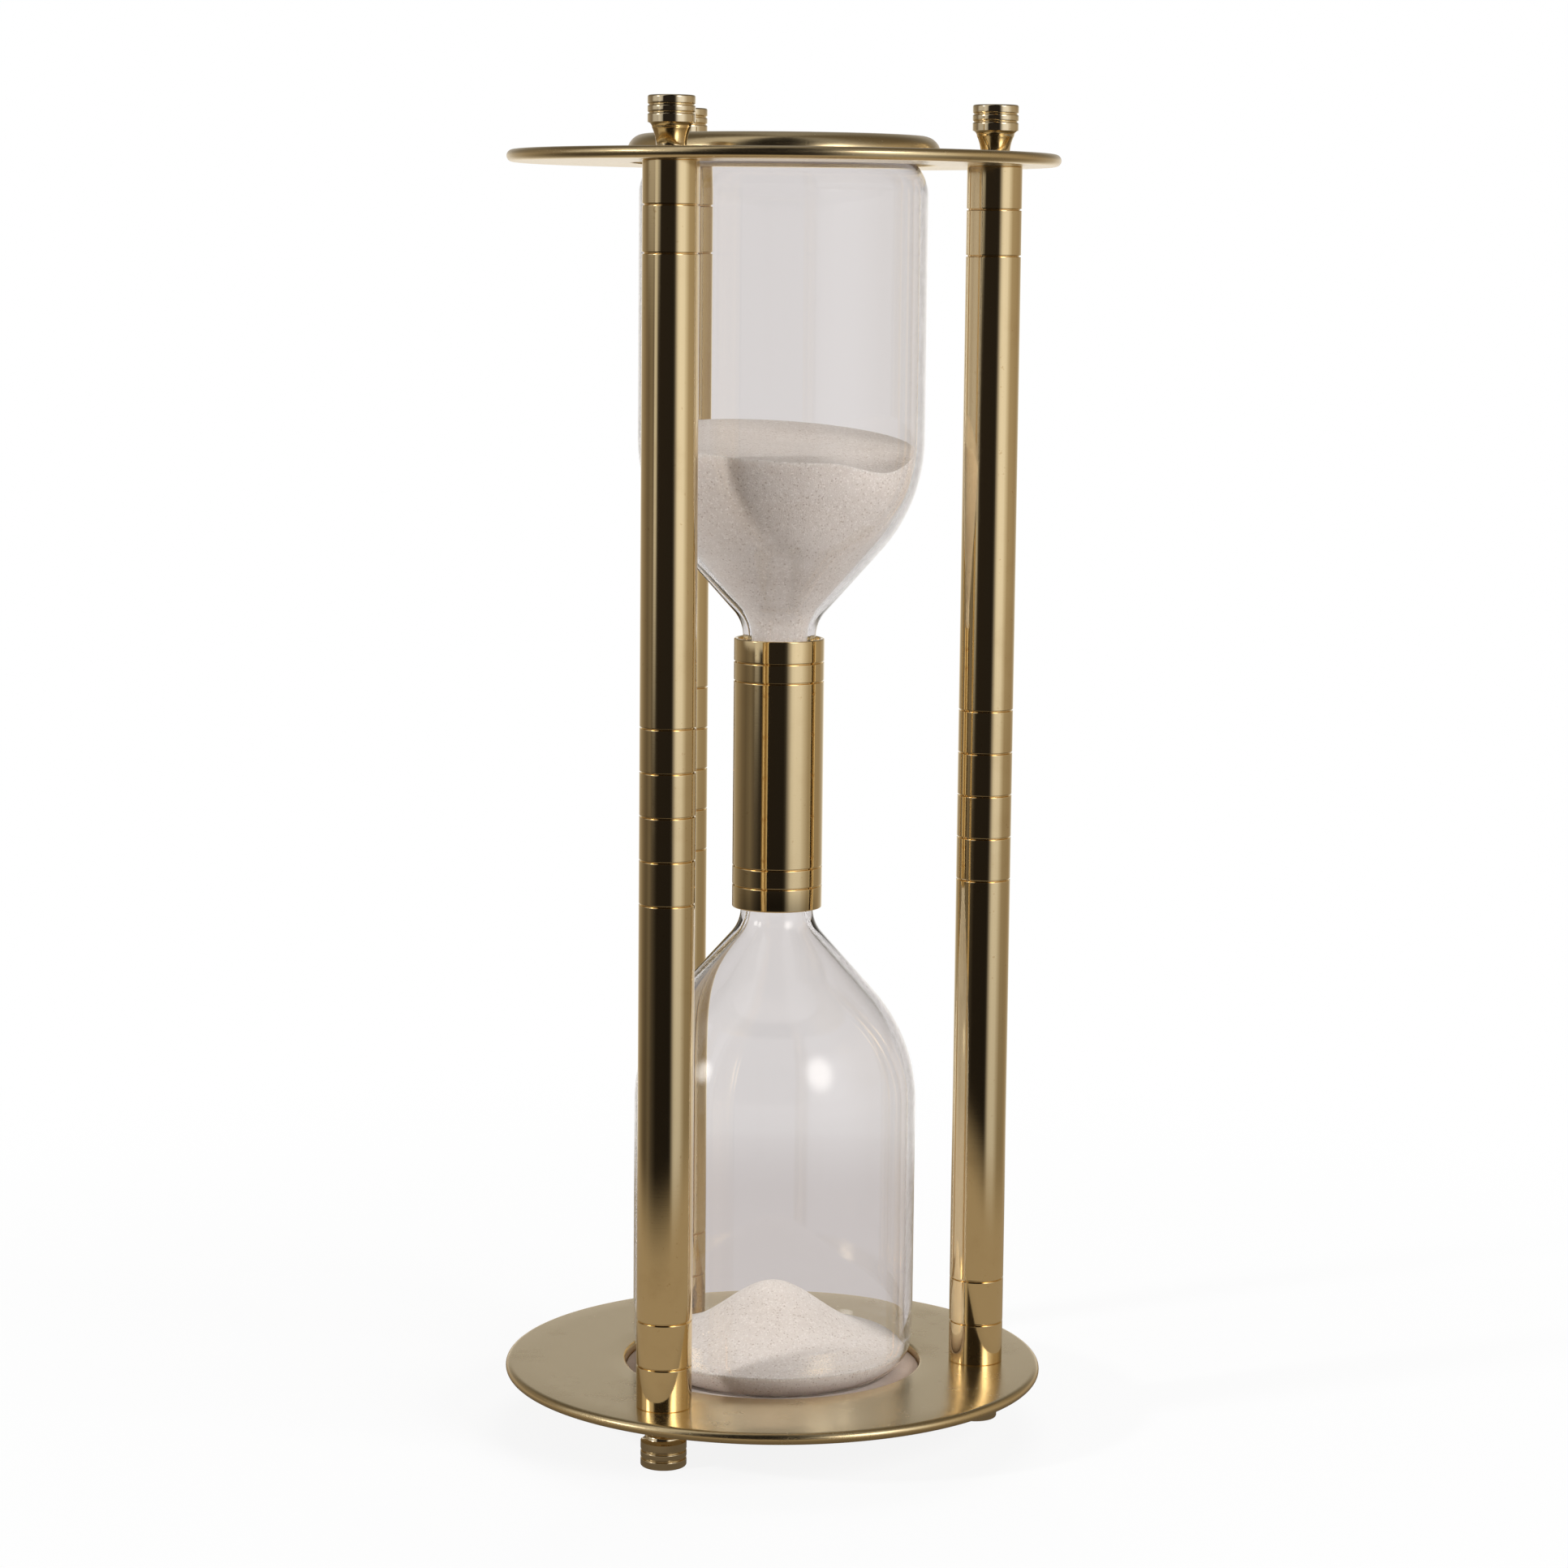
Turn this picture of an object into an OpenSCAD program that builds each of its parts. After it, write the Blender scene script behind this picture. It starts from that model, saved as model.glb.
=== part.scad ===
// Brass-framed hourglass: two round plates held apart by three pillars, with two blown glass
// bulbs seated in cups in the plates and joined at the waist under a brass sleeve.
// Origin: centre of the feet, on the surface that the hourglass stands on. +Z is up.

/* [Frame] */
// Distance between the two plates' inner faces
pillar_len = 287.8; // [230:0.2:380]
// Thickness of the plate metal
sheet_t = 1; // [0.8:0.1:2]
// Diameter of the round bead that the plate's edge is rolled into
bead_d = 2.8; // [2:0.1:5]
// Distance from a pillar's side out to the middle of the bead
plate_margin = 7.6; // [4:0.1:20]
// Gap between the mouth of the cup and a pillar's side
pillar_gap = 6.4; // [2:0.1:20]

/* [Pillars] */
// Outer diameter of each pillar
pillar_d = 13; // [11:0.1:16]
// Wall of the pillar tube
pillar_wall = 1.5; // [1:0.1:2.5]
// Length of the threaded plug soldered into each end of a pillar
plug_len = 14; // [11:0.5:25]
// Width of a turned decorative groove
groove_w = 0.7; // [0.4:0.1:1.2]
// Depth of a turned decorative groove
groove_depth = 0.3; // [0.2:0.05:0.5]
// Distance from a pillar's end to the nearer of its two end grooves
end_groove_at = 10; // [6:0.1:20]
// Distance between a pillar's two end grooves
end_groove_pitch = 10.8; // [6:0.1:14]
// Distance between neighbouring grooves in the middle group
mid_groove_pitch = 10.2; // [6:0.1:14]
// Height of the middle group of grooves above the pillar's middle
mid_groove_rise = -4.6; // [-20:0.2:20]
// Number of grooves in the middle group
mid_grooves = 5; // [1:2:9]

/* [Finials] */
// Length of a finial, from the plate to its flat end
finial_len = 13.3; // [11:0.1:20]
// Diameter of the finial's head
head_d = 10.8; // [9:0.1:16]
// Length of the finial's head
head_len = 6; // [5:0.1:8]
// Diameter of the finial's neck at the plate
neck_d = 6.9; // [6.4:0.1:8]
// Diameter at the crease between the neck and the cove under the head
crease_d = 8.8; // [8.2:0.1:8.9]
// Length of the cove between the crease and the head
cove_len = 1.2; // [0.8:0.1:2]
// Diameter of the threaded stud between a finial and its pillar
stud_d = 4; // [3:0.1:4.4]
// Length of stud inside the pillar plug
stud_in_plug = 8; // [7.5:0.1:9]
// Length of stud inside the finial
stud_in_finial = 8; // [5:0.1:9]

/* [Glass] */
// Outer diameter of a bulb
bulb_d = 68; // [60:0.5:70]
// Wall of the blown glass
glass_wall = 2; // [1.2:0.1:3]
// Outer diameter of the neck
waist_d = 17.4; // [14:0.1:20]
// Length of the straight neck, from the waist's middle
waist_len = 32.8; // [29:0.1:40]
// Angle between the cone of a bulb and its axis
cone_angle = 41.5; // [35:0.5:48]
// Radius of the curve from the neck to the cone
waist_curve_r = 9; // [6:0.5:14]
// Radius of the curve from the cone to the straight wall
shoulder_r = 40; // [34:0.5:46]
// Radius of the bulb's rounded closed end
end_curve_r = 11; // [6:0.5:14]

/* [Seats] */
// Gap between a bulb and the wall of its cup
cup_gap = 1.8; // [0.5:0.1:4]
// Depth of the cup below the plate's inner face
cup_depth = 5.8; // [5:0.1:9]
// Radius of the cup's rounded bottom edge
cup_edge_r = 3.2; // [2.5:0.1:4.5]
// Thickness of the cork pad in each cup
pad_t = 2; // [1:0.1:3.5]

/* [Waist] */
// Wall of the brass sleeve
sleeve_wall = 0.9; // [0.5:0.1:1.2]
// Distance from the end of the straight neck back to the sleeve's end
sleeve_end_gap = 0.4; // [0:0.1:4]
// Distance from the sleeve's end to its outer groove
sleeve_groove_at = 5.5; // [3:0.1:8]
// Distance between the sleeve's two grooves
sleeve_groove_pitch = 4.6; // [3:0.1:6]
// Thickness of the disc between the two necks
orifice_t = 1; // [0.6:0.1:2]
// Diameter of the hole that the sand runs through
orifice_d = 2; // [1:0.1:3]
// Length of the binding that joins the two necks
binding_len = 18; // [10:0.5:24]
// Thickness of the binding
binding_t = 0.5; // [0.2:0.1:0.8]
// Thickness of the rings that hold the sleeve centred on the necks
spacer_t = 1.2; // [0.9:0.1:3]
// Length of those rings
spacer_len = 4; // [2:0.5:8]
// Distance from the sleeve's end to its spacer ring
spacer_inset = 6; // [3:0.5:9]

/* [Sand] */
// Height of the sand in the upper bulb above the waist's middle, at the axis
upper_sand_h = 79.3; // [50:0.1:86]
// Slope of the upper sand's surface, down towards the front
upper_slope_front = 6; // [0:0.5:10]
// Slope of the upper sand's surface, down towards the right
upper_slope_side = 3; // [0:0.5:10]
// Depth of the sand in the lower bulb at the glass
lower_sand_edge = 5.4; // [2:0.1:12]
// Height of the sand pile's peak above its edge
lower_sand_peak = 15.3; // [8:0.1:18]
// Share of that height that stands in the steep heap at the middle
heap_share = 0.72; // [0.4:0.01:0.9]
// Spread of the steep heap, as a share of the bulb's inside radius
heap_spread = 0.48; // [0.3:0.01:0.6]

/* [Clearances] */
// Radial clearance of the stud in its bores
stud_clear = 0.05; // [0.02:0.01:0.08]
// Radial clearance of the stud in the plate's hole
plate_hole_clear = 0.2; // [0.1:0.05:0.4]
// Gap between a finial's face and the plate
seat_gap = 0.05; // [0.02:0.01:0.1]
// Free length beyond each end of a stud
stud_end_gap = 0.4; // [0.2:0.1:1]
// Gap between the sand and the glass
sand_gap = 0.1; // [0.05:0.05:0.3]

/* [Hidden] */
$fn = 96;

// heights of the stack, from the feet up
bottom_sheet_z = finial_len;
bottom_face_z = bottom_sheet_z + sheet_t;
top_face_z = bottom_face_z + pillar_len;
top_sheet_z = top_face_z + sheet_t;
waist_z = (bottom_face_z + top_face_z) / 2;

// from the bulb outwards: the cup, the pillars and the plate's rim
bulb_r = bulb_d / 2;
cup_r = bulb_r + cup_gap;
cup_lip_r = 0.8;
pad_r = cup_r - cup_edge_r;
pillar_r = pillar_d / 2;
pillar_circle_r = cup_r + cup_lip_r + pillar_gap + pillar_r;
plate_r = pillar_circle_r + pillar_r + plate_margin;

// pillar places, one angle each, measured from +X
right_at = 0;
back_at = 120;
left_at = 240;

// a bulb, measured from the waist's middle: it ends on the pad in its cup
waist_r = waist_d / 2;
bulb_end_h = pillar_len / 2 + cup_depth - pad_t;
waist_curve_c = waist_r + waist_curve_r;
cone_start_r = waist_curve_c - waist_curve_r * cos(cone_angle);
cone_start_h = waist_len + waist_curve_r * sin(cone_angle);
cone_end_r = bulb_r - shoulder_r * (1 - cos(cone_angle));
cone_end_h = cone_start_h + (cone_end_r - cone_start_r) / tan(cone_angle);
shoulder_h = cone_end_h + shoulder_r * sin(cone_angle);
end_curve_h = bulb_end_h - end_curve_r;
neck_end_h = orifice_t / 2;

// the sleeve's inside and what keeps it centred
sleeve_bore_r = waist_r + spacer_t;
sleeve_r = sleeve_bore_r + sleeve_wall;
sleeve_len = 2 * (waist_len - sleeve_end_gap);
spacer_h = sleeve_len / 2 - spacer_inset - spacer_len;

// the stud and its two blind bores
stud_r = stud_d / 2;
stud_bore_r = stud_r + stud_clear;
plate_hole_r = stud_r + plate_hole_clear;

// the finial's profile, measured out from the plate
neck_straight_len = 2;
head_edge_r = 0.5;
head_at = finial_len - head_len;
crease_at = head_at - cove_len;

// points of an arc from angle a0 to a1, in n steps
function arc(cx, cy, r, a0, a1, n) =
    [for (i = [0:n]) let (a = a0 + (a1 - a0) * i / n) [cx + r * cos(a), cy + r * sin(a)]];

// one face of the glass from neck to closed end, moved inwards by inset from the outside
function bulb_side(inset) = concat(
    arc(waist_curve_c, waist_len, waist_curve_r + inset, 180, 180 - cone_angle, 8),
    arc(bulb_r - shoulder_r, shoulder_h, shoulder_r - inset, -cone_angle, 0, 12),
    arc(bulb_r - end_curve_r, end_curve_h, end_curve_r - inset, 0, 90, 12));

// points of a hollow curve that leaves the line r = r0 smoothly at height z0 and ends at [r1, z1]
function flare(r0, z0, r1, z1, n) =
    let (w = r1 - r0, h = z1 - z0, r = (w * w + h * h) / (2 * w))
    arc(r0 + r, z0, r, 180, 180 - acos((r - w) / r), n);

// height of the lower sand's surface above its edge, at a share t of the way out to the glass
function heap(t) = exp(-pow(t / heap_spread, 2));
function pile_h(t) =
    lower_sand_peak * (heap_share * (heap(t) - heap(1) * t) + (1 - heap_share) * (1 - t * t));

// places its children on the pillar at angle a
module on_pillar(a) {
    rotate([0, 0, a]) translate([pillar_circle_r, 0, 0]) rotate([0, 0, -a]) children();
}

// turns a part that is drawn pointing up so that it points down from height z
module facing_down(z) {
    translate([0, 0, z]) mirror([0, 0, 1]) children();
}

// a ring of material to cut away for a groove centred at height z on radius r
module groove_cut(r, z) {
    translate([0, 0, z - groove_w / 2]) difference() {
        cylinder(r = r + 1, h = groove_w);
        translate([0, 0, -1]) cylinder(r = r - groove_depth, h = groove_w + 2);
    }
}

// an end plate with its cup, drawn with the flat inner face at z = 0 and the cup rising
module plate() {
    out_r = cup_r + sheet_t;
    out_h = cup_depth + sheet_t;
    out_edge_r = cup_edge_r + sheet_t;
    color("goldenrod") difference() {
        union() {
            cylinder(r = plate_r, h = sheet_t);
            rotate_extrude() translate([plate_r, bead_d / 2]) circle(d = bead_d, $fn = 48);
            rotate_extrude() polygon(concat([[0, 0], [out_r, 0]],
                arc(out_r - out_edge_r, out_h - out_edge_r, out_edge_r, 0, 90, 8), [[0, out_h]]));
        }
        rotate_extrude() polygon(concat([[0, -1], [cup_r + cup_lip_r, -1]],
            arc(cup_r + cup_lip_r, cup_lip_r, cup_lip_r, 270, 180, 5),
            arc(cup_r - cup_edge_r, cup_depth - cup_edge_r, cup_edge_r, 0, 90, 8), [[0, cup_depth]]));
        for (a = [right_at, back_at, left_at])
            on_pillar(a) translate([0, 0, -1]) cylinder(r = plate_hole_r, h = sheet_t + 2);
    }
}

// a pillar tube with its turned grooves, standing on z = 0
module pillar() {
    mid = pillar_len / 2 + mid_groove_rise;
    mid_spots = [for (i = [0:mid_grooves - 1]) mid + (i - (mid_grooves - 1) / 2) * mid_groove_pitch];
    end_spots = [end_groove_at, end_groove_at + end_groove_pitch];
    color("goldenrod") difference() {
        cylinder(r = pillar_r, h = pillar_len);
        translate([0, 0, -1]) cylinder(r = pillar_r - pillar_wall, h = pillar_len + 2);
        for (z = mid_spots) groove_cut(pillar_r, z);
        for (z = end_spots) {
            groove_cut(pillar_r, z);
            groove_cut(pillar_r, pillar_len - z);
        }
    }
}

// the tapped plug in a pillar's end, drawn with its outer face at z = 0 and going down
module plug() {
    color("darkgoldenrod") difference() {
        translate([0, 0, -plug_len]) cylinder(r = pillar_r - pillar_wall, h = plug_len);
        translate([0, 0, -stud_in_plug - stud_end_gap])
            cylinder(r = stud_bore_r, h = stud_in_plug + stud_end_gap + 1);
    }
}

// the stud through the plate, drawn with the plate's outer face at z = 0 and the finial above
module stud() {
    color("gold") translate([0, 0, -sheet_t - stud_in_plug])
        cylinder(r = stud_r, h = stud_in_plug + sheet_t + stud_in_finial);
}

// a turned finial: neck, cove and grooved head, above the plate's outer face at z = 0
module finial() {
    neck_r = neck_d / 2;
    crease_r = crease_d / 2;
    head_r = head_d / 2;
    color("goldenrod") difference() {
        rotate_extrude() polygon(concat(
            [[0, seat_gap], [neck_r, seat_gap]],
            flare(neck_r, neck_straight_len, crease_r, crease_at, 6),
            flare(crease_r, crease_at, head_r, head_at, 5),
            arc(head_r - head_edge_r, finial_len - head_edge_r, head_edge_r, 0, 90, 4),
            [[0, finial_len]]));
        translate([0, 0, -1]) cylinder(r = stud_bore_r, h = stud_in_finial + stud_end_gap + 1);
        for (share = [0.36, 0.66]) groove_cut(head_r, finial_len - head_len * share);
    }
}

// one blown bulb, drawn with the waist's middle at z = 0 and the bulb above
module bulb() {
    color("aliceblue", 0.5) rotate_extrude() polygon(concat(
        [[waist_r, neck_end_h]], bulb_side(0), [[0, bulb_end_h], [0, bulb_end_h - glass_wall]],
        [for (i = [len(bulb_side(glass_wall)) - 1:-1:0]) bulb_side(glass_wall)[i]],
        [[waist_r - glass_wall, neck_end_h]]));
}

// the room inside a bulb, clear of the glass by sand_gap
module bulb_room() {
    inset = glass_wall + sand_gap;
    rotate_extrude() polygon(concat([[0, neck_end_h + sand_gap], [waist_r - inset, neck_end_h + sand_gap]],
        bulb_side(inset), [[0, bulb_end_h - inset]]));
}

module orifice_disc() {
    color("silver") translate([0, 0, waist_z - orifice_t / 2]) difference() {
        cylinder(r = waist_r, h = orifice_t);
        translate([0, 0, -1]) cylinder(d = orifice_d, h = orifice_t + 2);
    }
}

module neck_binding() {
    color("ivory") translate([0, 0, waist_z - binding_len / 2]) difference() {
        cylinder(r = waist_r + binding_t, h = binding_len);
        translate([0, 0, -1]) cylinder(r = waist_r, h = binding_len + 2);
    }
}

// the ring between a neck and the sleeve, above the waist's middle at z = 0
module spacer_ring() {
    color("saddlebrown") translate([0, 0, spacer_h]) difference() {
        cylinder(r = sleeve_bore_r, h = spacer_len);
        translate([0, 0, -1]) cylinder(r = waist_r, h = spacer_len + 2);
    }
}

module waist_sleeve() {
    color("goldenrod") translate([0, 0, waist_z]) difference() {
        translate([0, 0, -sleeve_len / 2]) cylinder(r = sleeve_r, h = sleeve_len);
        translate([0, 0, -sleeve_len / 2 - 1]) cylinder(r = sleeve_bore_r, h = sleeve_len + 2);
        for (d = [sleeve_groove_at, sleeve_groove_at + sleeve_groove_pitch], s = [-1, 1])
            groove_cut(sleeve_r, s * (sleeve_len / 2 - d));
    }
}

// the pad in a cup, above the plate's flat inner face at z = 0
module cup_pad() {
    color("peru") translate([0, 0, cup_depth - pad_t]) cylinder(r = pad_r, h = pad_t);
}

module upper_sand() {
    color("bisque") translate([0, 0, waist_z]) intersection() {
        bulb_room();
        translate([0, 0, upper_sand_h]) rotate([upper_slope_front, upper_slope_side, 0])
            translate([-bulb_d, -bulb_d, -bulb_end_h]) cube([2 * bulb_d, 2 * bulb_d, bulb_end_h]);
    }
}

module lower_sand() {
    room_r = bulb_r - glass_wall - sand_gap;
    floor_h = bulb_end_h - glass_wall - sand_gap;
    edge_h = floor_h - lower_sand_edge;
    rings = 16;
    color("bisque") facing_down(waist_z) intersection() {
        bulb_room();
        rotate_extrude() polygon(concat(
            [[0, floor_h + 1], [room_r + 1, floor_h + 1], [room_r + 1, edge_h]],
            [for (i = [rings:-1:0]) [room_r * i / rings, edge_h - pile_h(i / rings)]]));
    }
}

facing_down(bottom_face_z) plate();  // bottom_plate
translate([0, 0, top_face_z]) plate();  // top_plate
on_pillar(right_at) translate([0, 0, bottom_face_z]) pillar();  // right_pillar
on_pillar(back_at) translate([0, 0, bottom_face_z]) pillar();  // back_pillar
on_pillar(left_at) translate([0, 0, bottom_face_z]) pillar();  // left_pillar
on_pillar(right_at) facing_down(bottom_face_z) plug();  // right_bottom_plug
on_pillar(back_at) facing_down(bottom_face_z) plug();  // back_bottom_plug
on_pillar(left_at) facing_down(bottom_face_z) plug();  // left_bottom_plug
on_pillar(right_at) translate([0, 0, top_face_z]) plug();  // right_top_plug
on_pillar(back_at) translate([0, 0, top_face_z]) plug();  // back_top_plug
on_pillar(left_at) translate([0, 0, top_face_z]) plug();  // left_top_plug
on_pillar(right_at) facing_down(bottom_sheet_z) stud();  // right_foot_stud
on_pillar(back_at) facing_down(bottom_sheet_z) stud();  // back_foot_stud
on_pillar(left_at) facing_down(bottom_sheet_z) stud();  // left_foot_stud
on_pillar(right_at) translate([0, 0, top_sheet_z]) stud();  // right_knob_stud
on_pillar(back_at) translate([0, 0, top_sheet_z]) stud();  // back_knob_stud
on_pillar(left_at) translate([0, 0, top_sheet_z]) stud();  // left_knob_stud
on_pillar(right_at) facing_down(bottom_sheet_z) finial();  // right_foot
on_pillar(back_at) facing_down(bottom_sheet_z) finial();  // back_foot
on_pillar(left_at) facing_down(bottom_sheet_z) finial();  // left_foot
on_pillar(right_at) translate([0, 0, top_sheet_z]) finial();  // right_knob
on_pillar(back_at) translate([0, 0, top_sheet_z]) finial();  // back_knob
on_pillar(left_at) translate([0, 0, top_sheet_z]) finial();  // left_knob
translate([0, 0, waist_z]) bulb();  // upper_bulb
facing_down(waist_z) bulb();  // lower_bulb
orifice_disc();
neck_binding();
translate([0, 0, waist_z]) spacer_ring();  // upper_spacer_ring
facing_down(waist_z) spacer_ring();  // lower_spacer_ring
waist_sleeve();
translate([0, 0, top_face_z]) cup_pad();  // upper_cup_pad
facing_down(bottom_face_z) cup_pad();  // lower_cup_pad
upper_sand();
lower_sand();
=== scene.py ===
import math

import bpy
from mathutils import Matrix, Vector


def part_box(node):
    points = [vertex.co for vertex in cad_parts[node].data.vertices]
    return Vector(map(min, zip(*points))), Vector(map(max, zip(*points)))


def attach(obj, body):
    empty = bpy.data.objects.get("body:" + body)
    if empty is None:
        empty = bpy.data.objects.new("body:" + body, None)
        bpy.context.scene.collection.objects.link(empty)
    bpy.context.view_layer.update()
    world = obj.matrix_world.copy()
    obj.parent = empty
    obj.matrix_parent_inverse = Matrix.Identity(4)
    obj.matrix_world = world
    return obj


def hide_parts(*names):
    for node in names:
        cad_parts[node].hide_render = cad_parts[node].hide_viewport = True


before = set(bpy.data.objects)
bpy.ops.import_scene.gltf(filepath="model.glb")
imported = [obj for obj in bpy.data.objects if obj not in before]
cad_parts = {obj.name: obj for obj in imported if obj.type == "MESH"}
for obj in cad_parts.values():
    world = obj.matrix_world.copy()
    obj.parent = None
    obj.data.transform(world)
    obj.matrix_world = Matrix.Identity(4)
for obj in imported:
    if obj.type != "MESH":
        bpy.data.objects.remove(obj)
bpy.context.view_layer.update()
mm = 0.001
print("frame loaded:", len(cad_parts), "nodes")


# places and sizes taken from the frame
def middle(node):
    low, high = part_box(node)
    return [(a + b) / 2 for a, b in zip(low, high)]


def halfWidth(node):
    low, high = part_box(node)
    return (high[0] - low[0]) / 2


# the way sideways from one node to another
def between(start, end):
    return [b - a for a, b in zip(middle(start)[:2], middle(end)[:2])]


sides = ("right", "back", "left")
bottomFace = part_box("right_pillar")[0][2]  # the plates' inner faces, where the pillars end
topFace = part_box("right_pillar")[1][2]
waistHeight = middle("waist_sleeve")[2]


# camera
camera = {
    "place": (11.57 * mm, -945.63 * mm, 282.84 * mm),
    "heading": 0.613,  # degrees, anticlockwise seen from above
    "pitch": 7.675,  # degrees below the horizon
    "roll": 0.568,
    "lens": 91.415,
}


def makeCamera():
    data = bpy.data.cameras.new("camera")
    data.lens = camera["lens"]
    eye = bpy.data.objects.new("camera", data)
    bpy.context.collection.objects.link(eye)
    turn = Matrix.Rotation(math.radians(camera["heading"]), 4, "Z")
    tip = Matrix.Rotation(math.radians(90 - camera["pitch"]), 4, "X")
    roll = Matrix.Rotation(math.radians(camera["roll"]), 4, "Z")
    eye.matrix_world = Matrix.Translation(camera["place"]) @ turn @ tip @ roll
    bpy.context.scene.camera = eye


makeCamera()
print("camera placed")


# shader maths: a Signal is one socket, and an expression on Signals adds its Math nodes
class Signal:
    def __init__(self, paint, socket):
        self.paint = paint
        self.socket = socket

    def __add__(self, other):
        return self.paint.maths("ADD", self, other)

    def __sub__(self, other):
        return self.paint.maths("SUBTRACT", self, other)

    def __mul__(self, other):
        return self.paint.maths("MULTIPLY", self, other)

    def __rsub__(self, other):
        return self.paint.maths("SUBTRACT", other, self)

    __radd__ = __add__
    __rmul__ = __mul__


# a node tree of one material or of the world
class Paint:
    def __init__(self, owner):
        self.owner = owner
        owner.use_nodes = True
        self.tree = owner.node_tree
        self.tree.nodes.clear()

    # makes a node: its settings first, then its sockets, and gives back the output asked for, if it has any
    def node(self, kind, settings=None, sockets=None, out=0):
        made = self.tree.nodes.new(kind)
        for key, value in (settings or {}).items():
            if key == "stops":
                self.setStops(made.color_ramp, value)
            else:
                setattr(made, key, value)
        for key, value in (sockets or {}).items():
            if isinstance(value, Signal):
                self.tree.links.new(value.socket, made.inputs[key])
            else:
                made.inputs[key].default_value = value
        return Signal(self, made.outputs[out]) if made.outputs else None

    def setStops(self, ramp, stops):
        while len(ramp.elements) < len(stops):
            ramp.elements.new(0.5)
        for element, (place, colour) in zip(ramp.elements, stops):
            element.position = place
            element.color = (*colour, 1)

    def maths(self, operation, *values):
        return self.node("ShaderNodeMath", {"operation": operation}, dict(enumerate(values)))

    def smooth(self, value, low, high):
        return self.node(
            "ShaderNodeMapRange",
            {"interpolation_type": "SMOOTHSTEP"},
            {"Value": value, "From Min": low, "From Max": high},
        )

    def colourMix(self, share, first, second, blend="MIX"):
        colours = [c if isinstance(c, Signal) else (*c, 1) for c in (first, second)]
        settings = {"data_type": "RGBA", "blend_type": blend}
        return self.node("ShaderNodeMix", settings, {0: share, 6: colours[0], 7: colours[1]}, out=2)

    def place(self, scale=(1, 1, 1)):
        spot = self.node("ShaderNodeTexCoord", out="Object")
        return self.node("ShaderNodeMapping", None, {"Vector": spot, "Scale": scale})

    def noise(self, vector, scale, detail=2.0, roughness=0.5):
        sockets = {"Vector": vector, "Scale": scale, "Detail": detail, "Roughness": roughness}
        return self.node("ShaderNodeTexNoise", None, sockets)

    def ray(self, output):
        return self.node("ShaderNodeLightPath", out=output)

    def bump(self, height, distance, strength=1.0):
        sockets = {"Height": height, "Distance": distance, "Strength": strength}
        return self.node("ShaderNodeBump", None, sockets)

    def finish(self, surface):
        forWorld = isinstance(self.owner, bpy.types.World)
        kind = "ShaderNodeOutputWorld" if forWorld else "ShaderNodeOutputMaterial"
        self.node(kind, None, {"Surface": surface})
        return self.owner


def newPaint(name):
    return Paint(bpy.data.materials.new(name))


# brass
brass = {
    "colour": (0.86, 0.69, 0.41),
    # painted highlight: a paler copy of the brass for the knobs and feet, standing in for the bright lamps
    # that the knobs mirror
    "pale": (0.88, 0.75, 0.52),
    "tarnish": (0.62, 0.42, 0.20),
    "polished": 0.07,
    "satin": 0.25,
    "cloudScale": 90,  # faint clouds of tarnish
    "cloudShare": 0.16,
    "cloudRoughness": 0.05,
    "speckScale": 900,  # dark specks
    "speckShare": 0.5,
    "rubScale": 600,  # wiping and polishing
    "rubRoughness": 0.5,
    "turnedDepth": 0.0015 * mm,  # marks of turning on the rods
    "sheetDepth": 0.0003 * mm,  # marks of buffing on the plates
}


def makeBrass(name, colour, roughness, turning, wear, depth):
    p = newPaint(name)
    spot = p.place()
    clouds = p.smooth(p.noise(spot, brass["cloudScale"], 4, 0.6), 0.5, 0.75)
    specks = p.smooth(p.noise(spot, brass["speckScale"], 2, 0.6), 0.68, 0.76)
    rub = p.noise(spot, brass["rubScale"], 6, 0.7)
    lines = p.noise(p.place(turning), 1, 2, 0.6)
    worn = clouds * brass["cloudShare"] * wear + specks * brass["speckShare"] * wear
    colour = p.colourMix(worn, colour, brass["tarnish"])
    rough = roughness + (rub - 0.5) * roughness * brass["rubRoughness"]
    rough = rough + clouds * brass["cloudRoughness"] * wear
    height = lines * 0.6 + rub * 0.4
    shader = p.node(
        "ShaderNodeBsdfPrincipled",
        None,
        {
            "Base Color": colour,
            "Metallic": 1.0,
            "Roughness": rough,
            "Normal": p.bump(height, depth),
        },
    )
    return p.finish(shader)


# glass: lamps and soft light pass straight through, so that the sand inside is lit
glass = {
    "tint": (0.99, 0.985, 0.983),
    "shade": (0.96, 0.955, 0.95),
    "bend": 1.12,
    "gloss": 1.5,
    "rippleScale": 28,
    "rippleDepth": 0.12 * mm,
}


def makeGlass(name):
    p = newPaint(name)
    ripple = p.noise(p.place((1, 1, 0.3)), glass["rippleScale"], 1, 0.4)
    clear = p.node(
        "ShaderNodeBsdfPrincipled",
        None,
        {
            "Base Color": (*glass["tint"], 1),
            "Roughness": 0.0,
            "IOR": glass["bend"],
            "Transmission Weight": 1.0,
            "Coat Weight": 1.0,
            "Coat Roughness": 0.0,
            "Coat IOR": glass["gloss"],
            "Normal": p.bump(ripple, glass["rippleDepth"]),
        },
    )
    through = p.node("ShaderNodeBsdfTransparent", None, {"Color": (*glass["shade"], 1)})
    shadow = p.ray("Is Shadow Ray")
    return p.finish(p.node("ShaderNodeMixShader", None, {0: shadow, 1: clear, 2: through}))


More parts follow.
